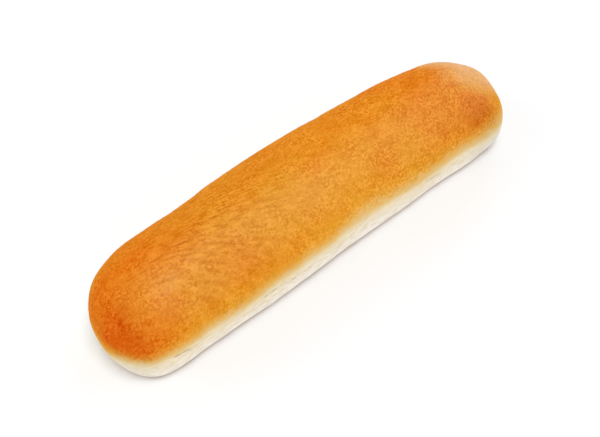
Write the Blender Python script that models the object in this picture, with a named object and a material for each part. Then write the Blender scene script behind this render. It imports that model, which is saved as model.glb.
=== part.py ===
"""Hot dog bun: one whole, uncut soft roll, domed and browned on top, flat underneath.

Metres, +Z up. +X runs along the roll from its fuller end to its slimmer end, and the origin is
under the middle of the roll, on the plane of its flat underside.

The roll starts as a cube that is cut into a grid. Every grid point is then carried onto the
roll's skin by one rule: its place along the cube says how far along the roll it lies, and its
place around the cube says where it lies around that slice. Nearly straight in the middle, the
skin closes over a rounded cap at each end.
"""

import math

import bmesh
import bpy
from mathutils import Vector

# Overall size
LENGTH = 0.170
WIDTH = 0.0410  # of a plain slice, before the bellies on its two sides
HEIGHT = 0.0328

# Cross-section: the widest line is at WAIST_HEIGHT, the dome is above it, and the lower part
# curves in to the flat underside, which is cut off where it would pass z = 0
WAIST_HEIGHT = 0.0131
LOWER_DEPTH = 0.0216
DOME_SQUARENESS = 1.98
LOWER_SQUARENESS = 2.5
EDGE_SOFTNESS = 0.0022  # half the height over which the side rounds into the underside

# The two ends: the fuller one (-X) first, then the slimmer one (+X)
CAP_LENGTH = (0.0245, 0.0255)
CAP_SQUARENESS = (2.5, 2.6)
CROWN_FALL = (0.027, 0.043)  # stretch over which the top comes down to the tip
CROWN_SQUARENESS = (1.8, 2.0)
LEAN = (0.0006, 0.0030)  # how much further along X the end reaches on its +Y side
LEAN_STRETCH = 0.030
TUCK = 0.88  # below 1 the underside keeps its width further into the ends
CAP_ON_SIDES = 0.45  # share of a cap's quarter turn that the long grid faces cover

# Hand-shaped unevenness: the roll bends sideways, narrows towards +X and has soft swells
BOW = 0.0039
TAPER = 0.02
# (place along X, height of the swell, its spread), added to the half width
FAR_SWELLS = ((-0.040, -0.00095, 0.0080), (0.002, 0.0016, 0.0300))  # on the +Y side
NEAR_SWELLS = ((-0.018, 0.00135, 0.0210), (0.060, -0.0018, 0.0155))  # on the -Y side
# (place along X, share of the dome's height, its spread)
CROWN_SWELLS = ((-0.050, 0.020, 0.016), (0.018, -0.018, 0.022), (0.058, 0.016, 0.014))

# Grid of the starting cube: slices along the roll, across it, and up it
SLICES = (46, 20, 16)

CRUST_HEIGHT = 0.0085  # below this the sides stay pale
CRUST_COLOR = (0.72, 0.29, 0.055, 1.0)
PALE_COLOR = (0.82, 0.68, 0.47, 1.0)


def swell(x, swells):
    """Sum of smooth swells, each (centre, height, spread), at x."""
    return sum(h * math.exp(-0.5 * ((x - c) / s) ** 2) for c, h, s in swells)


def soft_floor(z):
    """z, held at 0 from below, with a rounding where it meets the underside."""
    if z >= EDGE_SOFTNESS:
        return z
    if z <= -EDGE_SOFTNESS:
        return 0.0
    return (z + EDGE_SOFTNESS) ** 2 / (4 * EDGE_SOFTNESS)


def squared_circle(angle, squareness):
    """The point at an angle on a circle that grows squarer as squareness passes 2."""
    c, s = math.cos(angle), math.sin(angle)
    radius = (abs(c) ** squareness + abs(s) ** squareness) ** (-1 / squareness)
    return c * radius, s * radius


def station(u, rho):
    """(x, share of the full width, share of the full crown) for a grid point.

    u runs from -1 to 1 along the cube. rho is 1 on its long faces, and falls to 0 at the middle
    of each square end face.
    """
    end = 0 if u < 0 else 1
    cap = CAP_LENGTH[end]
    barrel = LENGTH / 2 - cap
    on_sides = 1.4 * cap * CAP_ON_SIDES
    along = abs(u) * (barrel + on_sides)
    if abs(u) > 1 - 1e-6:
        turn = CAP_ON_SIDES + (1 - rho) * (1 - CAP_ON_SIDES)
    else:
        turn = max(0.0, along - barrel) / on_sides * CAP_ON_SIDES
    width, push = squared_circle(turn * math.pi / 2, CAP_SQUARENESS[end])
    reach = barrel + cap * push if turn > 0 else min(along, barrel)
    fall = CROWN_FALL[end]
    gone = max(0.0, (reach - (LENGTH / 2 - fall)) / fall)
    crown = math.sqrt(max(0.0, 1 - gone ** CROWN_SQUARENESS[end]))
    return math.copysign(reach, u), max(0.0, width), crown


def on_crust(u, v, w):
    """The point of the roll's skin for a point (u, v, w) of the cube from -1 to 1."""
    across = v * math.sqrt(1 - w * w / 2)
    upward = w * math.sqrt(1 - v * v / 2)
    rho = min(1.0, math.hypot(across, upward))
    x, width, crown = station(u, rho)
    squareness = DOME_SQUARENESS if upward >= 0 else LOWER_SQUARENESS
    side, rise = squared_circle(math.atan2(upward, across), squareness)
    rise = abs(rise)
    half = WIDTH / 2 * (1 - TAPER * x / (LENGTH / 2))
    half += swell(x, FAR_SWELLS if side > 0 else NEAR_SWELLS)
    bend = BOW * (0.5 - (x / (LENGTH / 2)) ** 2)
    if upward >= 0:
        dome = (HEIGHT - WAIST_HEIGHT) * crown * (1 + swell(x, CROWN_SWELLS))
        z = WAIST_HEIGHT + dome * rise
    else:
        z = soft_floor(WAIST_HEIGHT - LOWER_DEPTH * width**TUCK * rise)
    into_cap = max(0.0, (abs(x) - (LENGTH / 2 - LEAN_STRETCH)) / LEAN_STRETCH)
    lean = LEAN[0 if x < 0 else 1] * into_cap**2 * width * side
    return Vector((x + lean, bend + half * width * side, z))


def gridded_cube():
    """A cube from -1 to 1, each of its three directions cut into that many equal slices."""
    bm = bmesh.new()
    bmesh.ops.create_cube(bm, size=2.0)
    for axis, count in enumerate(SLICES):
        along = [
            e
            for e in bm.edges
            if abs(e.verts[0].co[axis] - e.verts[1].co[axis]) > 1e-6
        ]
        bmesh.ops.subdivide_edges(bm, edges=along, cuts=count - 1, use_grid_fill=True)
    return bm


def material(name, color, roughness):
    made = bpy.data.materials.new(name)
    made.use_nodes = True
    shader = made.node_tree.nodes["Principled BSDF"]
    shader.inputs["Base Color"].default_value = color
    shader.inputs["Roughness"].default_value = roughness
    shader.inputs["Metallic"].default_value = 0.0
    made.diffuse_color = color
    return made


def make_bun():
    bm = gridded_cube()
    for vert in bm.verts:
        vert.co = on_crust(*vert.co)

    # Set the roll over the origin: the middle of its box in X and Y
    xs = [v.co.x for v in bm.verts]
    ys = [v.co.y for v in bm.verts]
    middle = Vector(((min(xs) + max(xs)) / 2, (min(ys) + max(ys)) / 2, 0))
    bmesh.ops.translate(bm, verts=bm.verts, vec=-middle)

    bmesh.ops.recalc_face_normals(bm, faces=bm.faces)
    for face in bm.faces:
        face.smooth = True
        face.material_index = int(face.calc_center_median().z < CRUST_HEIGHT)

    mesh = bpy.data.meshes.new("bun")
    bm.to_mesh(mesh)
    bm.free()
    bun = bpy.data.objects.new("bun", mesh)
    mesh.materials.append(material("browned_crust", CRUST_COLOR, 0.5))
    mesh.materials.append(material("pale_side", PALE_COLOR, 0.8))
    return bun


def main():
    for old in list(bpy.data.objects):
        bpy.data.objects.remove(old, do_unlink=True)
    roll = bpy.data.collections.new("hot_dog_bun")
    bpy.context.scene.collection.children.link(roll)
    roll.objects.link(make_bun())


main()
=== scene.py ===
"""Looks of the hot dog bun: its fine skin, its baked colours, and a plain studio around it."""

import math

import bpy
import numpy as np
from mathutils import Matrix, Vector


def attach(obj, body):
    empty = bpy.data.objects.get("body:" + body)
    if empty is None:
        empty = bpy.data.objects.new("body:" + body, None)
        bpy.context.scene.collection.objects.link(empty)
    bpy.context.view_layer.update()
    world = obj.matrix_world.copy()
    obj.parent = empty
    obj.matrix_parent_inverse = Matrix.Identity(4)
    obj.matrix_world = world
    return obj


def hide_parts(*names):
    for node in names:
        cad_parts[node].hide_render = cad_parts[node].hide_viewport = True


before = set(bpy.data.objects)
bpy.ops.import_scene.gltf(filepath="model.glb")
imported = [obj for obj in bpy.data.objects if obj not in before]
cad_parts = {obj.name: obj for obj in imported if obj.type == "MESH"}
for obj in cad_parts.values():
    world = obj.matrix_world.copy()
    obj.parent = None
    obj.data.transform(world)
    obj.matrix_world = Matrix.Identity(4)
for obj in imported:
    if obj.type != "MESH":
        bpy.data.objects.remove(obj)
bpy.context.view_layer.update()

# ---------------------------------------------------------------------------------------------
# The roll's form, in millimetres: the same rule as the CAD solid's, on a finer grid
# ---------------------------------------------------------------------------------------------
LENGTH = 170.0
WIDTH = 41.0
HEIGHT = 32.8
WAIST = 13.1
LOWER_DEPTH = 21.6
DOME_SQUARENESS = 1.98
LOWER_SQUARENESS = 2.5
EDGE_SOFTNESS = 2.2
CAP_LENGTH = (24.5, 25.5)
CAP_SQUARENESS = (2.5, 2.6)
CROWN_FALL = (27.0, 43.0)
CROWN_SQUARENESS = (1.8, 2.0)
LEAN = (0.6, 3.0)
LEAN_STRETCH = 30.0
TUCK = 0.88
CAP_ON_SIDES = 0.45
BOW = 3.9
TAPER = 0.02
FAR_SWELLS = ((-40.0, -0.95, 8.0), (2.0, 1.6, 30.0))
NEAR_SWELLS = ((-18.0, 1.35, 21.0), (60.0, -1.8, 15.5))
CROWN_SWELLS = ((-50.0, 0.020, 16.0), (18.0, -0.018, 22.0), (58.0, 0.016, 14.0))
SLICES = (310, 80, 60)  # 192,800 triangles


def swell(x, swells):
    """Sum of smooth swells, each (centre, height, spread), at x."""
    total = np.zeros_like(x)
    for centre, height, spread in swells:
        total += height * np.exp(-0.5 * ((x - centre) / spread) ** 2)
    return total


def smooth(low, high, value):
    """0 below low, 1 above high, and a smooth rise between them."""
    t = np.clip((value - low) / (high - low), 0.0, 1.0)
    return t * t * (3 - 2 * t)


def soft_floor(z):
    k = EDGE_SOFTNESS
    return np.where(z >= k, z, np.where(z <= -k, 0.0, (z + k) ** 2 / (4 * k)))


def squared_circle(angle, squareness):
    c, s = np.cos(angle), np.sin(angle)
    radius = (np.abs(c) ** squareness + np.abs(s) ** squareness) ** (-1 / squareness)
    return c * radius, s * radius


def by_end(u, pair):
    return np.where(u < 0, pair[0], pair[1])


def skin(uvw):
    """The roll's skin for cube points: the points in mm, and how far round each one lies."""
    u, v, w = uvw.T
    across = v * np.sqrt(1 - w * w / 2)
    upward = w * np.sqrt(1 - v * v / 2)
    rho = np.minimum(1.0, np.hypot(across, upward))
    around = np.arctan2(upward, across)
    cap = by_end(u, CAP_LENGTH)
    barrel = LENGTH / 2 - cap
    on_sides = 1.4 * cap * CAP_ON_SIDES
    along = np.abs(u) * (barrel + on_sides)
    turn = np.where(
        np.abs(u) > 1 - 1e-6,
        CAP_ON_SIDES + (1 - rho) * (1 - CAP_ON_SIDES),
        np.maximum(0.0, along - barrel) / on_sides * CAP_ON_SIDES,
    )
    width, push = squared_circle(turn * math.pi / 2, by_end(u, CAP_SQUARENESS))
    width = np.maximum(0.0, width)
    reach = np.where(turn > 0, barrel + cap * push, np.minimum(along, barrel))
    fall = by_end(u, CROWN_FALL)
    gone = np.maximum(0.0, (reach - (LENGTH / 2 - fall)) / fall)
    crown = np.sqrt(np.maximum(0.0, 1 - gone ** by_end(u, CROWN_SQUARENESS)))
    x = np.copysign(reach, u)
    squareness = np.where(upward >= 0, DOME_SQUARENESS, LOWER_SQUARENESS)
    side, rise = squared_circle(around, squareness)
    rise = np.abs(rise)
    half = WIDTH / 2 * (1 - TAPER * x / (LENGTH / 2))
    half += np.where(side > 0, swell(x, FAR_SWELLS), swell(x, NEAR_SWELLS))
    bend = BOW * (0.5 - (x / (LENGTH / 2)) ** 2)
    dome = (HEIGHT - WAIST) * crown * (1 + swell(x, CROWN_SWELLS))
    z = np.where(
        upward >= 0,
        WAIST + dome * rise,
        soft_floor(WAIST - LOWER_DEPTH * width**TUCK * rise),
    )
    into_cap = np.maximum(0.0, (np.abs(x) - (LENGTH / 2 - LEAN_STRETCH)) / LEAN_STRETCH)
    lean = by_end(u, LEAN) * into_cap**2 * width * side
    points = np.stack([x + lean, bend + half * width * side, z], axis=1)
    low, high = points.min(0), points.max(0)
    points -= [(low[0] + high[0]) / 2, (low[1] + high[1]) / 2, 0.0]
    return points, around


def cube_grid(slices):
    """Grid points on the faces of a cube from -1 to 1, and the quads between them, facing out."""
    coords, quads, base = [], [], 0
    for axis in range(3):
        b, c = (axis + 1) % 3, (axis + 2) % 3
        for top in (0, 1):
            i, j = np.meshgrid(
                np.arange(slices[b] + 1), np.arange(slices[c] + 1), indexing="ij"
            )
            at = np.zeros(i.shape + (3,), np.int64)
            at[..., axis] = slices[axis] * top
            at[..., b], at[..., c] = i, j
            number = np.arange(i.size).reshape(i.shape) + base
            base += i.size
            ring = [number[:-1, :-1], number[1:, :-1], number[1:, 1:], number[:-1, 1:]]
            if not top:
                ring.reverse()
            coords.append(at.reshape(-1, 3))
            quads.append(np.stack(ring, -1).reshape(-1, 4))
    coords, quads = np.concatenate(coords), np.concatenate(quads)
    key = (coords[:, 0] * (slices[1] + 1) + coords[:, 1]) * (slices[2] + 1) + coords[:, 2]
    _, first, same = np.unique(key, return_index=True, return_inverse=True)
    return coords[first] * 2.0 / np.array(slices) - 1, same.reshape(-1)[quads]


def point_normals(points, quads):
    a, b, c, d = (points[quads[:, i]] for i in range(4))
    facing = np.cross(c - a, d - b)
    total = np.zeros_like(points)
    for i in range(4):
        for axis in range(3):
            total[:, axis] += np.bincount(quads[:, i], facing[:, axis], len(points))
    return total / np.maximum(np.linalg.norm(total, axis=1, keepdims=True), 1e-12)


# ---------------------------------------------------------------------------------------------
# Smooth seeded noise, about -1 to 1, with one bump or hollow to each unit of length
# ---------------------------------------------------------------------------------------------
def lattice(cell, seed):
    """A gradient for each lattice cell, always the same for the same cell and seed."""
    i, j, k = (cell[:, a].astype(np.int64).astype(np.uint32) for a in range(3))
    mixed = i * np.uint32(0x8DA6B343) + j * np.uint32(0xD8163841)
    mixed += k * np.uint32(0xCB1AB31F) + np.uint32(seed * 0x9E3779B1 & 0xFFFFFFFF)
    parts = []
    for _ in range(3):
        mixed = (mixed ^ (mixed >> np.uint32(15))) * np.uint32(0x2C1B3C6D)
        mixed = (mixed ^ (mixed >> np.uint32(12))) * np.uint32(0x297A2D39)
        mixed = mixed ^ (mixed >> np.uint32(15))
        parts.append(mixed / 2.0**31 - 1)
        mixed = mixed + np.uint32(0x9E3779B9)
    return np.stack(parts, 1)


def noise(points, seed):
    cell = np.floor(points)
    part = points - cell
    fade = part**3 * (part * (part * 6 - 15) + 10)
    total = np.zeros(len(points))
    for corner in np.ndindex(2, 2, 2):
        corner = np.array(corner)
        weight = np.prod(np.where(corner, fade, 1 - fade), axis=1)
        total += weight * np.sum(lattice(cell + corner, seed) * (part - corner), axis=1)
    return total * 1.6


def layers(points, size, seed, count=3, keep=0.5):
    """Noise with bumps of that size in mm, and finer layers on top, each weaker by keep."""
    total = np.zeros(len(points))
    for n in range(count):
        total += keep**n * noise(points * (2**n / size) + 17.3 * n, seed + n)
    return total


# ---------------------------------------------------------------------------------------------
# The skin's relief and its baked pattern
# ---------------------------------------------------------------------------------------------
uvw, quads = cube_grid(SLICES)
base, around = skin(uvw)
normal = point_normals(base, quads)
X, Y, Z = base.T
near_side = smooth(2.0, -6.0, Y)  # 1 on the -Y side

# Height of the edge between the browned crust and the pale wall that stood in the pan's slot
EDGE_NEAR = ((-80.0, -2.3, 4.5), (-65.0, -0.4, 5.5), (-48.0, -0.7, 8.0), (-3.0, 0.9, 17.0))
EDGE_NEAR += ((-15.0, 0.5, 4.0), (10.0, 1.1, 6.5), (37.0, -1.1, 9.0), (51.0, 0.6, 4.0))
EDGE_NEAR += ((64.0, -1.0, 6.0),)
EDGE_FAR = ((-76.0, 1.4, 6.0), (-62.0, 0.6, 12.0), (-20.0, -0.9, 15.0), (34.0, 0.9, 13.0), (74.0, -1.2, 8.0))
edge = 13.7 + near_side * swell(X, EDGE_NEAR) + (1 - near_side) * swell(X, EDGE_FAR)
edge += 0.7 * noise(base / 11.0, 3) + 0.35 * noise(base / 4.0, 4)
# At the tip of the fuller end the crust comes further down
edge -= 6.3 * smooth(-75.0, -84.0, X) * smooth(-15.0, -1.0, Y) * smooth(16.0, 8.0, Y)
above_edge = Z - edge
crust = smooth(-1.5, 3.0, above_edge)
wall = 1 - crust
under = smooth(1.6, 0.2, Z) * smooth(-0.5, -0.9, normal[:, 2])
off_floor = smooth(0.3, 3.5, Z)

# Soft swells of the dough
relief = 0.55 * noise(base / 31.0, 11) + 0.26 * noise(base / 15.0, 12)
relief += 0.12 * noise(base / 7.5, 13)

# Wrinkles where the dough was stretched. They run slantwise over the fuller half and fan out:
# nearly along the roll on its +Y side, and more across it towards -Y
def slant(y):
    return np.radians(np.clip(17.5 - 0.8 * (y + 5.0), 8.0, 30.0))


steps = np.linspace(-30.0, 30.0, 601)
turning = np.cumsum(1 / np.tan(slant(steps))) * (steps[1] - steps[0])
lane_across = (X + np.interp(Y, steps, turning)) * math.sin(math.radians(20))
lane_along = X * math.cos(math.radians(20)) - Y * math.sin(math.radians(20))


def furrows(spacing, length, half, seed):
    """Depth of broken furrows from 0 to 1, and of the rounded ridges beside them."""
    sway = 1.3 * noise(base / 15.0, seed) + 0.6 * noise(base / 5.5, seed + 1)
    sway += 0.25 * noise(base / 2.2, seed + 3)
    lane = (lane_across + sway) / spacing
    number = np.round(lane)
    away = (lane - number) * spacing
    piece = np.stack([lane_along / length + number * 3.7, number * 5.3, X * 0 + 0.4], 1)
    strength = smooth(-0.30, 0.45, noise(piece, seed + 2))
    width = half * (0.8 + 0.5 * strength)
    furrow = np.exp(-((away / width) ** 2)) * strength
    ridge = np.exp(-(((np.abs(away) - 2.4 * width) / (1.2 * width)) ** 2)) * strength
    return furrow, ridge


where = np.exp(-0.5 * (((X + 39) / 21) ** 2 + ((Y + 3) / 11.5) ** 2))
where = (0.10 + 0.90 * where) * smooth(0.0, 6.0, above_edge)
valley, ridge = furrows(2.6, 6.5, 0.40, 22)
finer, finer_ridge = furrows(1.7, 4.2, 0.32, 27)
valley = (0.85 * valley + 0.60 * finer) * where
ridge = (0.85 * ridge + 0.50 * finer_ridge) * where

# Pebbled crust
pebble = noise(base / 1.75, 31) + 0.7 * noise(base / 1.2, 32)
patchy = 0.75 + 0.5 * noise(base / 13.0, 33)

# Fine lengthwise lines and creases in the pale wall
lines = noise(np.stack([X / 16.0, Y / 30.0, (Z + 0.35 * noise(base / 9.0, 41)) / 1.15], 1), 42)
CREASES = (  # side, from and to along X, height, depth, half width
    (-1, -38.0, -26.0, 10.7, 0.42, 0.36),
    (-1, -28.0, -14.0, 9.6, 0.36, 0.34),
    (-1, -12.0, 2.0, 12.0, 0.16, 0.30),
    (-1, -46.0, -20.0, 7.6, 0.24, 0.33),
    (-1, -72.0, -66.0, 11.0, 0.48, 0.42),
    (-1, -68.0, -61.0, 10.2, 0.34, 0.36),
    (-1, 36.0, 44.0, 9.7, 0.38, 0.38),
    (-1, 56.0, 63.0, 9.4, 0.22, 0.30),
    (1, -60.0, -38.0, 9.6, 0.32, 0.33),
    (1, 8.0, 41.0, 11.0, 0.36, 0.34),
)
crease = np.zeros(len(base))
drift = 0.55 * noise(np.stack([X / 13.0, X * 0, X * 0], 1), 44)
drift += 0.28 * noise(np.stack([X / 2.6, X * 0, X * 0], 1), 45)
broken = smooth(-0.55, 0.45, noise(np.stack([X / 1.9, Z / 2.0, Y * 0], 1), 46))
for side, start, stop, height, depth, half in CREASES:
    here = smooth(start - 2.0, start + 2.0, X) * smooth(stop + 2.0, stop - 2.0, X)
    here *= (np.sign(Y) == side) * (0.30 + 0.70 * broken)
    groove = np.exp(-(((Z - height - drift) / half) ** 2))
    crease = np.maximum(crease, here * groove * depth)

# Where fingers, the pan and the next roll left the dough a little fuller or flatter:
# (x, y, z, how far out, how wide)
PRESSED = (
    (-43.0, 17.0, 24.0, -0.60, 9.0),
    (34.0, 18.0, 24.0, -0.50, 13.0),
    (61.0, 14.0, 24.0, -0.35, 6.0),
    (82.5, 0.0, 18.5, 0.75, 6.0),
    (74.0, 11.5, 22.0, 0.40, 5.5),
    (83.0, 1.0, 19.0, 0.22, 4.0),
    (-84.0, -3.0, 5.0, 0.40, 4.5),
    (79.0, 7.0, 22.0, -0.18, 4.0),
    (76.0, -18.0, 8.0, 0.85, 5.5),
    (69.0, -18.0, 1.5, -0.95, 4.0),
    (43.0, -19.0, 2.0, -0.35, 6.0),
    (1.0, -20.0, 2.0, -0.30, 6.0),
    (-32.0, -20.5, 2.0, 0.30, 5.0),
    (-60.0, -21.0, 2.0, -0.55, 6.0),
    (-75.5, -18.5, 2.0, 0.55, 3.6),
    (-83.5, -9.0, 2.0, -0.40, 4.0),
    (-82.0, 10.0, 15.0, -0.45, 4.5),
)
pressed = np.zeros(len(base))
for x, y, z, out, wide in PRESSED:
    apart = np.sum((base - [x, y, z]) ** 2, axis=1)
    pressed += out * np.exp(-0.5 * apart / wide**2)
relief *= off_floor
relief += 0.13 * ridge - 0.24 * valley
relief += (0.090 * crust * patchy + 0.025 * wall * off_floor) * pebble
relief += 0.060 * wall * off_floor * lines
relief -= crease
relief += 0.16 * np.exp(-(((above_edge - 3.0) / 2.4) ** 2)) * off_floor  # the crust's soft lip

points = base + normal * relief[:, None]
points += normal * pressed[:, None] * np.stack([np.ones(len(base))] * 2 + [off_floor], 1)
# The underside stays on its plane, with shallow hollows where it baked on the pan
hollow = np.clip(layers(base, 9.0, 51, 3), 0.0, 1.0) * under
points[:, 2] = np.where(under > 0, np.maximum(points[:, 2], 0) + 0.28 * hollow, points[:, 2])
points[:, 2] = np.maximum(points[:, 2], 0.0)


def patch(x, y, long, wide):
    """A soft patch of the crown seen from above, 1 in its middle."""
    return np.exp(-0.5 * (((X - x) / long) ** 2 + ((Y - y) / wide) ** 2))


# How strongly each place is browned: most low on the fuller end's near corner, least on the middle
# of the crown. The lighter patch at x -64 on the near slope of the crown is painted highlight
deep = 0.22 * smooth(-58.0, -70.0, X) + 0.25 * smooth(-72.0, -82.0, X)
deep += 0.50 * smooth(-76.0, -84.0, X) * smooth(-1.0, -9.0, Y)
for x, y, long, wide, more in (
    (-75.0, -18.0, 5.0, 4.5, 0.25),
    (-66.0, 1.0, 9.0, 7.0, 0.26),
    (-70.0, -17.0, 6.0, 4.0, 0.14),
    (-64.0, -12.0, 7.0, 4.0, -0.12),
    (-55.0, -7.0, 7.0, 6.0, 0.20),
    (-38.0, -17.5, 7.0, 4.5, 0.20),
    (-6.0, -13.0, 17.0, 7.0, -0.16),
    (0.0, -6.0, 8.0, 4.0, 0.12),
    (19.0, -18.0, 6.0, 4.0, 0.16),
    (34.0, -18.0, 5.0, 4.0, -0.18),
    (44.0, -4.0, 6.0, 4.0, 0.14),
    (67.0, -16.5, 7.5, 4.0, 0.24),
    (72.0, -9.0, 6.0, 4.0, -0.14),
    (76.0, -15.0, 3.5, 5.0, -0.18),
):
    deep += more * patch(x, y, long, wide)
deep += 0.16 * smooth(25.0, 45.0, X) + 0.22 * smooth(45.0, 72.0, X)
side_deep = (0.18 + 0.09 * smooth(10.0, -10.0, X)) * smooth(-7.0, 5.0, Y)
deep += side_deep * smooth(-82.0, -60.0, X) * (1 - 0.4 * smooth(11.0, 16.0, Y))
deep *= 1 - 0.45 * smooth(5.0, 13.0, Y) * smooth(-60.0, -74.0, X)
deep *= 1 - 0.70 * smooth(9.0, 2.0, above_edge) * smooth(-75.0, -82.0, X) * smooth(-14.0, -8.0, Y)
deep += 0.10 + 0.12 * layers(base, 16.0, 61, 2)
ragged_x = X + 6.0 * layers(base, 13.0, 62, 3)
ragged_y = Y + 3.0 * layers(base, 11.0, 64, 2)
pale_end = np.maximum(smooth(-15.0, -8.0, ragged_y), smooth(76.0, 81.0, ragged_x))
deep *= 1 - smooth(55.0, 71.0, ragged_x) * pale_end
# A paler top on the slimmer end, partly the crust's own colour and partly a painted sheen, and a patch of
# painted highlight on the near slope of the crown
pale_tip_and_painted_sheen = smooth(60.0, 78.0, ragged_x) * smooth(-14.0, -6.0, ragged_y)
pale_tip_and_painted_sheen += 0.30 * patch(-8.0, -13.0, 7.0, 4.0)
deep = np.clip(deep, 0.0, 1.0)
# Painted shade: the crust's colour is darkened low on both near corners, where the light falls off
painted_shade = 0.60 * patch(-82.0, -13.0, 5.0, 8.0)
painted_shade += 0.85 * patch(68.5, -17.3, 6.5, 2.9) * smooth(79.0, 72.0, X)
painted_shade = np.clip(painted_shade, 0.0, 1.0)
# A slight gloss on the near half of the crown, and a sheen on top of the slimmer end
gloss = smooth(3.0, -9.0, Y) * smooth(6.0, 14.0, above_edge) * smooth(-84.0, -62.0, X)
sheen = smooth(58.0, 76.0, ragged_x) * smooth(-15.0, -5.0, Y) * smooth(2.0, 7.0, above_edge)
# The mottling is a little weaker on the fuller end and stronger on the slimmer half
speckle = 1.0 + 0.24 * smooth(-5.0, 20.0, X) - 0.10 * smooth(-62.0, -75.0, X)

band = 1.0 + 0.45 * smooth(-10.0, 12.0, X)  # the golden band is wider to the slimmer end

bun_mesh = bpy.data.meshes.new("bun_skin")
bun_mesh.from_pydata((points / 1000).tolist(), [], quads.tolist())
bun_mesh.shade_smooth()
for name, values in {
    "above_edge": np.where(above_edge > 0, above_edge / band, above_edge) / 10,
    "deep": deep,
    "painted_shade": painted_shade,
    "pale_tip_and_painted_sheen": pale_tip_and_painted_sheen,
    "gloss": gloss,
    "sheen": sheen,
    "speckle": speckle,
    "pebble": pebble,
    "valley": valley,
    "wrinkled": where,
    "lane_along": lane_along,
    "lane_across": lane_across,
    "crease": crease / 0.4,
    "under": under,
}.items():
    layer = bun_mesh.attributes.new(name, "FLOAT", "POINT")
    layer.data.foreach_set("value", values.astype(np.float32))
bun = bpy.data.objects.new("bun_skin", bun_mesh)
bpy.context.scene.collection.objects.link(bun)


# ---------------------------------------------------------------------------------------------
# The skin's finish
# ---------------------------------------------------------------------------------------------
def srgb(r, g, b):
    """A colour given as it looks on a screen, 0 to 255, as the linear one that shaders take."""
    linear = []
    for c in (r, g, b):
        c /= 255
        linear.append(c / 12.92 if c <= 0.04045 else ((c + 0.055) / 1.055) ** 2.4)
    return (*linear, 1.0)


class Tree:
    """Short calls for building a material's nodes."""

    def __init__(self, name):
        self.material = bpy.data.materials.new(name)
        self.material.use_nodes = True
        self.nodes = self.material.node_tree.nodes
        self.links = self.material.node_tree.links
        self.shader = self.nodes["Principled BSDF"]
        self.where = self.nodes.new("ShaderNodeTexCoord").outputs["Object"]

    def put(self, socket, value):
        if isinstance(value, bpy.types.NodeSocket):
            self.links.new(value, socket)
        else:
            socket.default_value = value

    def attribute(self, name):
        node = self.nodes.new("ShaderNodeAttribute")
        node.attribute_name = name
        return node.outputs["Fac"]

    def math(self, operation, a, b=0.0, clamp=False):
        node = self.nodes.new("ShaderNodeMath")
        node.operation = operation
        node.use_clamp = clamp
        self.put(node.inputs[0], a)
        self.put(node.inputs[1], b)
        return node.outputs[0]

    def span(self, value, low, high, to_low=0.0, to_high=1.0):
        node = self.nodes.new("ShaderNodeMapRange")
        node.interpolation_type = "SMOOTHSTEP"
        self.put(node.inputs["Value"], value)
        self.put(node.inputs["From Min"], low)
        self.put(node.inputs["From Max"], high)
        self.put(node.inputs["To Min"], to_low)
        self.put(node.inputs["To Max"], to_high)
        return node.outputs["Result"]

    def noise(self, size_mm, detail=2.0, rough=0.5, stretch=(1, 1, 1), distortion=0.0):
        """Noise of that feature size, from 0 to 1."""
        mapping = self.nodes.new("ShaderNodeMapping")
        mapping.inputs["Scale"].default_value = stretch
        self.links.new(self.where, mapping.inputs["Vector"])
        return self.noise_at(mapping.outputs[0], 1000 / size_mm, detail, rough, distortion)

    def noise_at(self, vector, scale, detail, rough, distortion=0.0):
        node = self.nodes.new("ShaderNodeTexNoise")
        self.links.new(vector, node.inputs["Vector"])
        node.inputs["Scale"].default_value = scale
        node.inputs["Detail"].default_value = detail
        node.inputs["Roughness"].default_value = rough
        node.inputs["Distortion"].default_value = distortion
        return node.outputs["Fac"]

    def vector(self, x, y, z=0.0):
        node = self.nodes.new("ShaderNodeCombineXYZ")
        for socket, value in zip(node.inputs, (x, y, z)):
            self.put(socket, value)
        return node.outputs[0]

    def mix(self, share, a, b, blend="MIX"):
        node = self.nodes.new("ShaderNodeMix")
        node.data_type = "RGBA"
        node.blend_type = blend
        self.put(node.inputs["Factor"], share)
        self.put(node.inputs["A"], a)
        self.put(node.inputs["B"], b)
        return node.outputs["Result"]

    def ramp(self, value, stops):
        node = self.nodes.new("ShaderNodeValToRGB")
        self.links.new(value, node.inputs["Fac"])
        elements = node.color_ramp.elements
        for n, (at, colour) in enumerate(stops):
            stop = elements[n] if n < 2 else elements.new(at)
            stop.position, stop.color = at, colour
        return node.outputs["Color"]

    def bump(self, height, distance_mm, under=None):
        node = self.nodes.new("ShaderNodeBump")
        node.inputs["Distance"].default_value = distance_mm / 1000
        self.links.new(height, node.inputs["Height"])
        if under is not None:
            self.links.new(under, node.inputs["Normal"])
        return node.outputs["Normal"]


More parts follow.
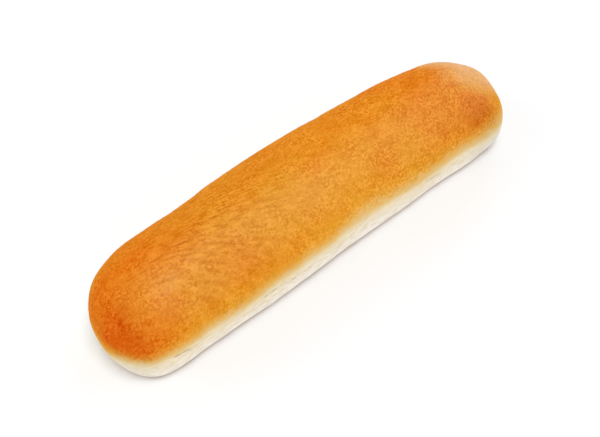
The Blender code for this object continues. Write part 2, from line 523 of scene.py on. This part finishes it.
def bread():
    t = Tree("baked_bread")
    above = t.attribute("above_edge")
    deep = t.attribute("deep")
    gloss = t.attribute("gloss")
    sheen = t.attribute("sheen")
    pebble = t.attribute("pebble")
    valley = t.attribute("valley")
    wrinkled = t.attribute("wrinkled")
    crease = t.attribute("crease")
    under = t.attribute("under")

    fine = t.noise(0.9, 3.0, 0.75)
    grain = t.noise(2.2, 3.0, 0.55)
    cloud = t.noise(14.0, 2.0, 0.5)
    mottle = t.noise(4.4, 5.0, 0.92, stretch=(0.75, 1.0, 1.0))
    streak = t.noise(0.75, 3.0, 0.65, stretch=(0.20, 0.45, 1.0))
    # Short fine wrinkles along the same lanes as the furrows
    lanes = t.vector(
        t.math("MULTIPLY", t.attribute("lane_along"), 0.24), t.attribute("lane_across")
    )
    wrinkle = t.math("SUBTRACT", t.noise_at(lanes, 0.90, 3.0, 0.6), 0.5)
    wrinkle = t.math("MULTIPLY", wrinkle, wrinkled)

    # From the pale wall through gold to the full crust, with a ragged edge
    ragged = t.math("MULTIPLY", t.math("SUBTRACT", grain, 0.5), 0.16)
    level = t.span(t.math("ADD", above, ragged), -1.0, 1.95)
    level.node.interpolation_type = "LINEAR"
    # The colour whitens towards the wall's bottom: partly the pale baked wall, partly painted light bounced
    # from the white floor. The top stop, on the crown, is a little yellower: partly the crust's colour,
    # partly painted highlight
    baked = t.ramp(
        level,
        [
            (0.000, srgb(252, 248, 239)),
            (1.000, srgb(221, 152, 29)),
            (0.120, srgb(246, 238, 220)),
            (0.186, srgb(243, 231, 207)),
            (0.254, srgb(242, 227, 194)),
            (0.305, srgb(236, 210, 157)),
            (0.339, srgb(230, 190, 111)),
            (0.390, srgb(228, 174, 72)),
            (0.440, srgb(228, 162, 46)),
            (0.512, srgb(226, 153, 33)),
            (0.617, srgb(224, 146, 20)),
            (0.797, srgb(222, 146, 21)),
        ],
    )

    # The crust's browning: deeper patches and clouds, then fine mottling that is partly painted light
    is_crust = t.span(above, -0.05, 0.45)
    brown = t.math("ADD", deep, t.math("MULTIPLY", t.math("SUBTRACT", cloud, 0.5), 0.4))
    brown = t.math("MULTIPLY", brown, t.span(above, 0.05, 0.65), clamp=True)
    baked = t.mix(brown, baked, srgb(217, 99, 6))
    # Paler crust on the slimmer end's top and on the crown's near slope: partly its own colour, partly
    # painted sheen and painted highlight
    pale_tip_and_painted_sheen = t.math("MULTIPLY", t.math("MULTIPLY", t.attribute("pale_tip_and_painted_sheen"), is_crust), 0.7)
    baked = t.mix(pale_tip_and_painted_sheen, baked, srgb(228, 160, 58))
    # Fine mottling: partly the crust's own flecks, partly painted light, with lighter flecks as painted
    # glints on the pebbles' tops and darker ones as painted shade in the pits and fine wrinkles
    mottle = t.math("MULTIPLY", t.math("SUBTRACT", mottle, 0.5), 2.1)
    grit = t.math("MULTIPLY", t.math("SUBTRACT", fine, 0.5), 3.4)
    grit = t.math("MULTIPLY", grit, t.span(t.noise(7.0, 1.0, 0.5), 0.35, 0.65, 0.55, 1.35))
    mottle = t.math("ADD", t.math("ADD", mottle, grit), t.math("MULTIPLY", pebble, 0.05))
    mottle = t.math("MULTIPLY", mottle, t.math("SUBTRACT", 1.0, t.math("MULTIPLY", wrinkled, 0.25)))
    mottle = t.math("ADD", mottle, t.math("MULTIPLY", wrinkle, 3.0))
    mottle = t.math("MULTIPLY", mottle, t.attribute("speckle"))
    mottle = t.math("ADD", t.math("MULTIPLY", mottle, is_crust), 0.5, clamp=True)
    darker = t.mix(1.0, baked, (0.112, 0.072, 0.008, 1.0), "SUBTRACT")
    fleck_and_glint = t.mix(brown, (0.112, 0.076, 0.030, 1.0), (0.105, 0.058, 0.011, 1.0))
    lighter = t.mix(1.0, baked, fleck_and_glint, "ADD")
    baked = t.mix(mottle, darker, lighter)
    # Painted shade in the furrows: their colour is darkened and browned
    baked = t.mix(valley, baked, (0.86, 0.72, 0.50, 1.0), "MULTIPLY")
    # Painted shade low on both near corners
    baked = t.mix(t.attribute("painted_shade"), baked, (0.80, 0.82, 0.85, 1.0), "MULTIPLY")

    # The pale wall: faint streaks along it, soft mottling, and creases darkened with painted shade
    is_wall = t.math("SUBTRACT", 1.0, is_crust)
    streaky = t.math("MULTIPLY", t.span(streak, 0.44, 0.70), is_wall)
    baked = t.mix(t.math("MULTIPLY", streaky, 0.64), baked, srgb(219, 196, 158))
    dusty = t.math("MULTIPLY", t.math("SUBTRACT", t.noise(3.2, 3.0, 0.6), 0.5), 1.3)
    dusty = t.math("ADD", dusty, t.math("MULTIPLY", grit, 0.6))
    dusty = t.math("MULTIPLY", t.span(dusty, -0.25, 0.80), is_wall)
    baked = t.mix(t.math("MULTIPLY", dusty, 0.66), baked, srgb(222, 203, 170))
    baked = t.mix(t.span(crease, 0.1, 1.1, 0.0, 0.8), baked, srgb(140, 104, 58))

    # The underside: baked light gold on the pan, in darker and lighter clouds with fine flecks
    base = t.ramp(
        t.math("ADD", t.math("MULTIPLY", cloud, 0.6), t.math("MULTIPLY", grain, 0.4)),
        [(0.30, srgb(222, 172, 100)), (0.70, srgb(202, 138, 62))],
    )
    base = t.mix(t.math("MULTIPLY", t.span(fine, 0.50, 0.72), 0.5), base, srgb(178, 112, 48))
    base = t.mix(t.math("MULTIPLY", t.span(fine, 0.50, 0.30), 0.4), base, srgb(238, 202, 142))
    baked = t.mix(t.math("MULTIPLY", under, 0.9), baked, base)

    t.put(t.shader.inputs["Base Color"], baked)
    # The crust and the floury wall are dull. One side of the crown has a slight gloss over them,
    # and the slimmer end a sheen
    t.put(t.shader.inputs["Roughness"], t.span(fine, 0.3, 0.7, 0.66, 0.82))
    t.shader.inputs["Specular IOR Level"].default_value = 0.015
    t.shader.inputs["Metallic"].default_value = 0.0
    glazed = t.math("ADD", t.math("MULTIPLY", gloss, 0.48), t.math("MULTIPLY", sheen, 0.95))
    t.put(t.shader.inputs["Coat Weight"], t.math("MINIMUM", glazed, 1.0))
    t.shader.inputs["Coat Roughness"].default_value = 0.43

    # Relief too fine for the mesh: the crust's grain, and pores all over
    grainy = t.math("MULTIPLY", fine, t.math("ADD", t.math("MULTIPLY", is_crust, 0.8), 0.2))
    bump = t.bump(grainy, 0.30)
    bump = t.bump(wrinkle, 0.30, bump)
    bump = t.bump(t.noise(0.35, 2.0, 0.6), 0.025, bump)
    t.put(t.shader.inputs["Normal"], bump)
    return t.material


bun_mesh.materials.append(bread())
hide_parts("bun")
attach(bun, "root")

# ---------------------------------------------------------------------------------------------
# Floor, light and camera
# ---------------------------------------------------------------------------------------------
floor_mesh = bpy.data.meshes.new("floor")
R = 2.5
floor_mesh.from_pydata(
    [(-R, -R, -2e-4), (R, -R, -2e-4), (R, R, -2e-4), (-R, R, -2e-4)], [], [(0, 1, 2, 3)]
)
floor = bpy.data.objects.new("floor", floor_mesh)
bpy.context.scene.collection.objects.link(floor)
paper = bpy.data.materials.new("white_paper")
paper.use_nodes = True
paper.node_tree.nodes["Principled BSDF"].inputs["Base Color"].default_value = (0.9, 0.905, 0.92, 1)
paper.node_tree.nodes["Principled BSDF"].inputs["Roughness"].default_value = 0.9
paper.node_tree.nodes["Principled BSDF"].inputs["Specular IOR Level"].default_value = 0.1
floor_mesh.materials.append(paper)

world = bpy.data.worlds.new("studio")
bpy.context.scene.world = world
world.use_nodes = True
world.node_tree.nodes["Background"].inputs["Color"].default_value = (1.0, 1.0, 1.0, 1)
world.node_tree.nodes["Background"].inputs["Strength"].default_value = 0.80


def softbox(name, azimuth, elevation, distance, size, power, color=(1, 1, 1)):
    """A square light that faces the bun. Azimuth is counted from +X towards +Y."""
    light = bpy.data.lights.new(name, "AREA")
    light.shape = "SQUARE"
    light.size = size
    light.energy = power
    light.color = color
    lamp = bpy.data.objects.new(name, light)
    bpy.context.scene.collection.objects.link(lamp)
    a, e = math.radians(azimuth), math.radians(elevation)
    back = Vector((math.cos(e) * math.cos(a), math.cos(e) * math.sin(a), math.sin(e)))
    place = back * distance + Vector((0, 0, 0.015))
    turn = back.to_track_quat("Z", "Y").to_matrix().to_4x4()
    lamp.matrix_world = Matrix.Translation(place) @ turn
    return lamp


softbox("overhead", -100, 76, 1.1, 0.4, 3.5)
softbox("right", 30, 18, 1.0, 0.4, 0.8)
softbox("left", 150, 30, 1.1, 0.7, 1.4)
softbox("front_fill", -120, 11, 1.2, 0.7, 1.1)

view = bpy.context.scene.view_settings
view.view_transform = "Standard"
view.look = "None"
view.exposure = 0.0
view.gamma = 1.0

AZIMUTH, ELEVATION, DISTANCE = -40.63, 50.0, 0.41352
TARGET = Vector((-0.00853, -0.00715, 0.015))
camera = bpy.data.cameras.new("camera")
camera.sensor_fit = "HORIZONTAL"
camera.sensor_width = 36.0
camera.lens = 75.0
camera.clip_start = 0.01
eye = bpy.data.objects.new("camera", camera)
bpy.context.scene.collection.objects.link(eye)
a, e = math.radians(AZIMUTH), math.radians(ELEVATION)
back = Vector((math.sin(a) * math.cos(e), -math.cos(a) * math.cos(e), math.sin(e)))
right = Vector((math.cos(a), math.sin(a), 0.0))
up = back.cross(right)
axes = Matrix((right, up, back)).transposed().to_4x4()
eye.matrix_world = Matrix.Translation(TARGET + back * DISTANCE) @ axes
bpy.context.scene.camera = eye
